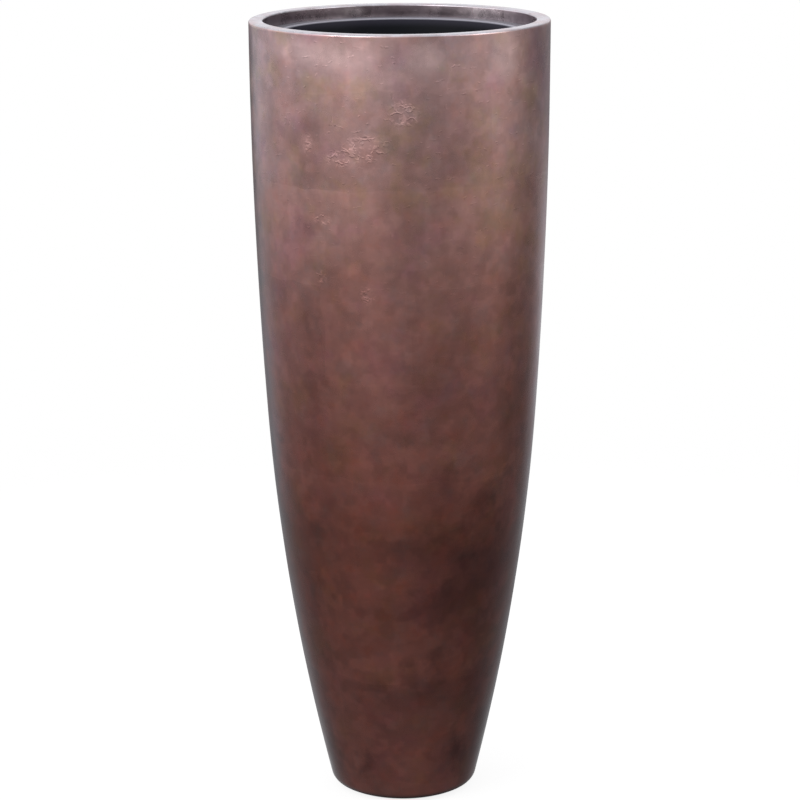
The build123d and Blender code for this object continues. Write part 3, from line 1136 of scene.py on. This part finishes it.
class PLANTER_OT_stage(bpy.types.Operator):
    """Sets out the floor, the studio's light and the camera"""

    bl_idname = "planter.stage"
    bl_label = "Stage"

    def execute(self, context):
        sizes = context.scene.planter_stage
        self.floor(sizes)
        self.studio()
        self.lamps()
        self.camera(context, sizes)
        context.scene.view_settings.view_transform = "Standard"
        return {"FINISHED"}

    def floor(self, sizes):
        """A round pale floor that fades into the studio's white."""
        start_clean()
        bpy.ops.mesh.primitive_circle_add(vertices=FLOOR_TURN, radius=sizes.floor_radius, fill_type="NGON")
        floor = bpy.context.object
        floor.name = "studio_floor"
        material, g = new_material("studio_floor")
        place, parts = g.place()
        far = g.add("ShaderNodeVectorMath", {0: place}, operation="LENGTH").outputs["Value"]
        rays = g.add("ShaderNodeLightPath").outputs
        seen = g.plus(rays["Is Camera Ray"], rays["Is Glossy Ray"])
        seen = g.math("ADD", seen, rays["Is Transmission Ray"], clamp=True)

        # Shade close round the foot, deeper in what the leaf mirrors
        shell = bpy.context.scene.planter_shell
        standing = shell.foot_radius - shell.foot_rounding
        clear, lighter = (g.ramp(far, *(standing + away for away in bounds))
                          for bounds in (GLOW_STARTS, SHADE_FADES))
        contact = g.math("MAXIMUM", lighter, rays["Is Camera Ray"])
        colour = g.blend(contact, BLACK, bpy.context.scene.planter_colours.floor)
        matt = g.add("ShaderNodeBsdfDiffuse", {"Color": colour})

        # Glow: white to the camera, shaded by the turn from the front to the leaf
        shades = g.colours_round(g.share_round(g.turn(parts)), FLOOR_SHADES)
        mirrored = g.blend(rays["Is Camera Ray"], shades, WHITE)
        glow = g.add("ShaderNodeEmission", {"Color": mirrored, "Strength": FLOOR_GLOW})
        lit = g.times(seen, g.times(clear, contact), sizes.floor_glow)
        lifted = g.add("ShaderNodeMixShader", {0: lit, 1: matt.outputs[0], 2: glow.outputs[0]})
        nothing = g.add("ShaderNodeBsdfTransparent")
        fade = g.ramp(far, sizes.floor_fade, sizes.floor_radius)
        mixed = g.add("ShaderNodeMixShader", {0: fade, 1: lifted.outputs[0], 2: nothing.outputs[0]})
        g.add("ShaderNodeOutputMaterial", {"Surface": mixed.outputs[0]})
        floor.data.materials.append(material)

    def studio(self):
        """A soft studio all round: a white sweep behind, two tall light boxes, and a dimmer room in front."""
        world = bpy.data.worlds.new("studio")
        bpy.context.scene.world = world
        world.use_nodes = True
        g = Graph(world.node_tree)
        parts = g.split(g.add("ShaderNodeTexCoord").outputs["Generated"])
        turn, rise = g.turn(parts), parts["Z"]
        share = g.share_round(turn)
        low = g.colours_round(share, LOW_WALLS)
        high = g.colours_round(share, HIGH_WALLS)

        # The two corners are dim at the horizon, and the right one has a light patch below it
        left = g.times(g.ramp(turn, *LEFT_CORNER), g.ramp(rise, *LEFT_DIMMING))
        patch = g.times(g.ramp(rise, *PATCH_FOOT), g.ramp(rise, *PATCH_TOP))
        right = g.times(g.ramp(turn, *RIGHT_CORNER), g.minus(patch, 1.0))
        light_share = g.plus(left, right, 1.0)
        low = g.add("ShaderNodeVectorMath", {0: low, "Scale": light_share}, operation="SCALE").outputs[0]
        walls = g.blend(g.ramp(rise, *WALLS_CHANGE), low, high)
        room = g.blend(g.ramp(rise, *CEILING_STARTS), walls, CEILING_COLOUR)
        rays = g.add("ShaderNodeLightPath").outputs
        seen = g.math("ADD", rays["Is Camera Ray"], rays["Is Transmission Ray"], clamp=True)
        light = g.add("ShaderNodeBackground", {"Color": g.blend(seen, room, WHITE), "Strength": 1.0})
        g.add("ShaderNodeOutputWorld", {"Surface": light.outputs[0]})

    def lamps(self):
        """A large soft lamp overhead at the left and a weaker one at the right."""
        for name, place, size, watts in LAMPS:
            start_clean()
            bpy.ops.object.light_add(type="AREA", location=place)
            lamp = bpy.context.object
            lamp.name = name
            lamp.data.shape = "SQUARE"
            lamp.data.size = size
            lamp.data.energy = watts
            aim = Vector(LAMP_AIM) - Vector(place)
            lamp.rotation_euler = aim.to_track_quat("-Z", "Y").to_euler()
            lamp.visible_camera = False

    def camera(self, context, sizes):
        """The camera at the photograph's place."""
        start_clean()
        bpy.ops.object.camera_add(location=(0, -sizes.camera_distance, sizes.camera_height))
        camera = bpy.context.object
        camera.name = "camera"
        camera.rotation_euler = (QUARTER_TURN - sizes.camera_pitch, sizes.camera_roll, 0)
        camera.data.lens = sizes.camera_lens
        camera.data.shift_x = sizes.camera_shift
        context.scene.camera = camera


class PLANTER_PT_panel(bpy.types.Panel):
    """Lists the planter's sizes and its steps"""

    bl_label = "Leaf Vase Planter"
    bl_idname = "PLANTER_PT_panel"
    bl_space_type = "VIEW_3D"
    bl_region_type = "UI"
    bl_category = "Planter"

    def draw(self, context):
        for name, group in SETTINGS.items():
            box = self.layout.box()
            box.label(text=group.__doc__)
            for prop in group.__annotations__:
                box.prop(getattr(context.scene, name), prop)
        for step in STEPS:
            self.layout.operator(step.bl_idname)


SETTINGS = {
    "planter_shell": ShellSizes,
    "planter_rim": RimSizes,
    "planter_liner": LinerSizes,
    "planter_rubber": RubberSizes,
    "planter_colours": FinishColours,
    "planter_stage": StageSizes,
}
STEPS = (PLANTER_OT_shell, PLANTER_OT_rim, PLANTER_OT_liner, PLANTER_OT_rubber, PLANTER_OT_stage)


def register():
    for group in SETTINGS.values():
        bpy.utils.register_class(group)
    for step in STEPS:
        bpy.utils.register_class(step)
    bpy.utils.register_class(PLANTER_PT_panel)
    for name, group in SETTINGS.items():
        setattr(bpy.types.Scene, name, bpy.props.PointerProperty(type=group))


def unregister():
    for name in SETTINGS:
        delattr(bpy.types.Scene, name)
    bpy.utils.unregister_class(PLANTER_PT_panel)
    for step in reversed(STEPS):
        bpy.utils.unregister_class(step)
    for group in reversed(list(SETTINGS.values())):
        bpy.utils.unregister_class(group)


def main():
    register()
    bpy.ops.planter.shell()
    bpy.ops.planter.rim()
    bpy.ops.planter.liner()
    bpy.ops.planter.rubber()
    bpy.ops.planter.stage()


if __name__ == "__main__":
    main()
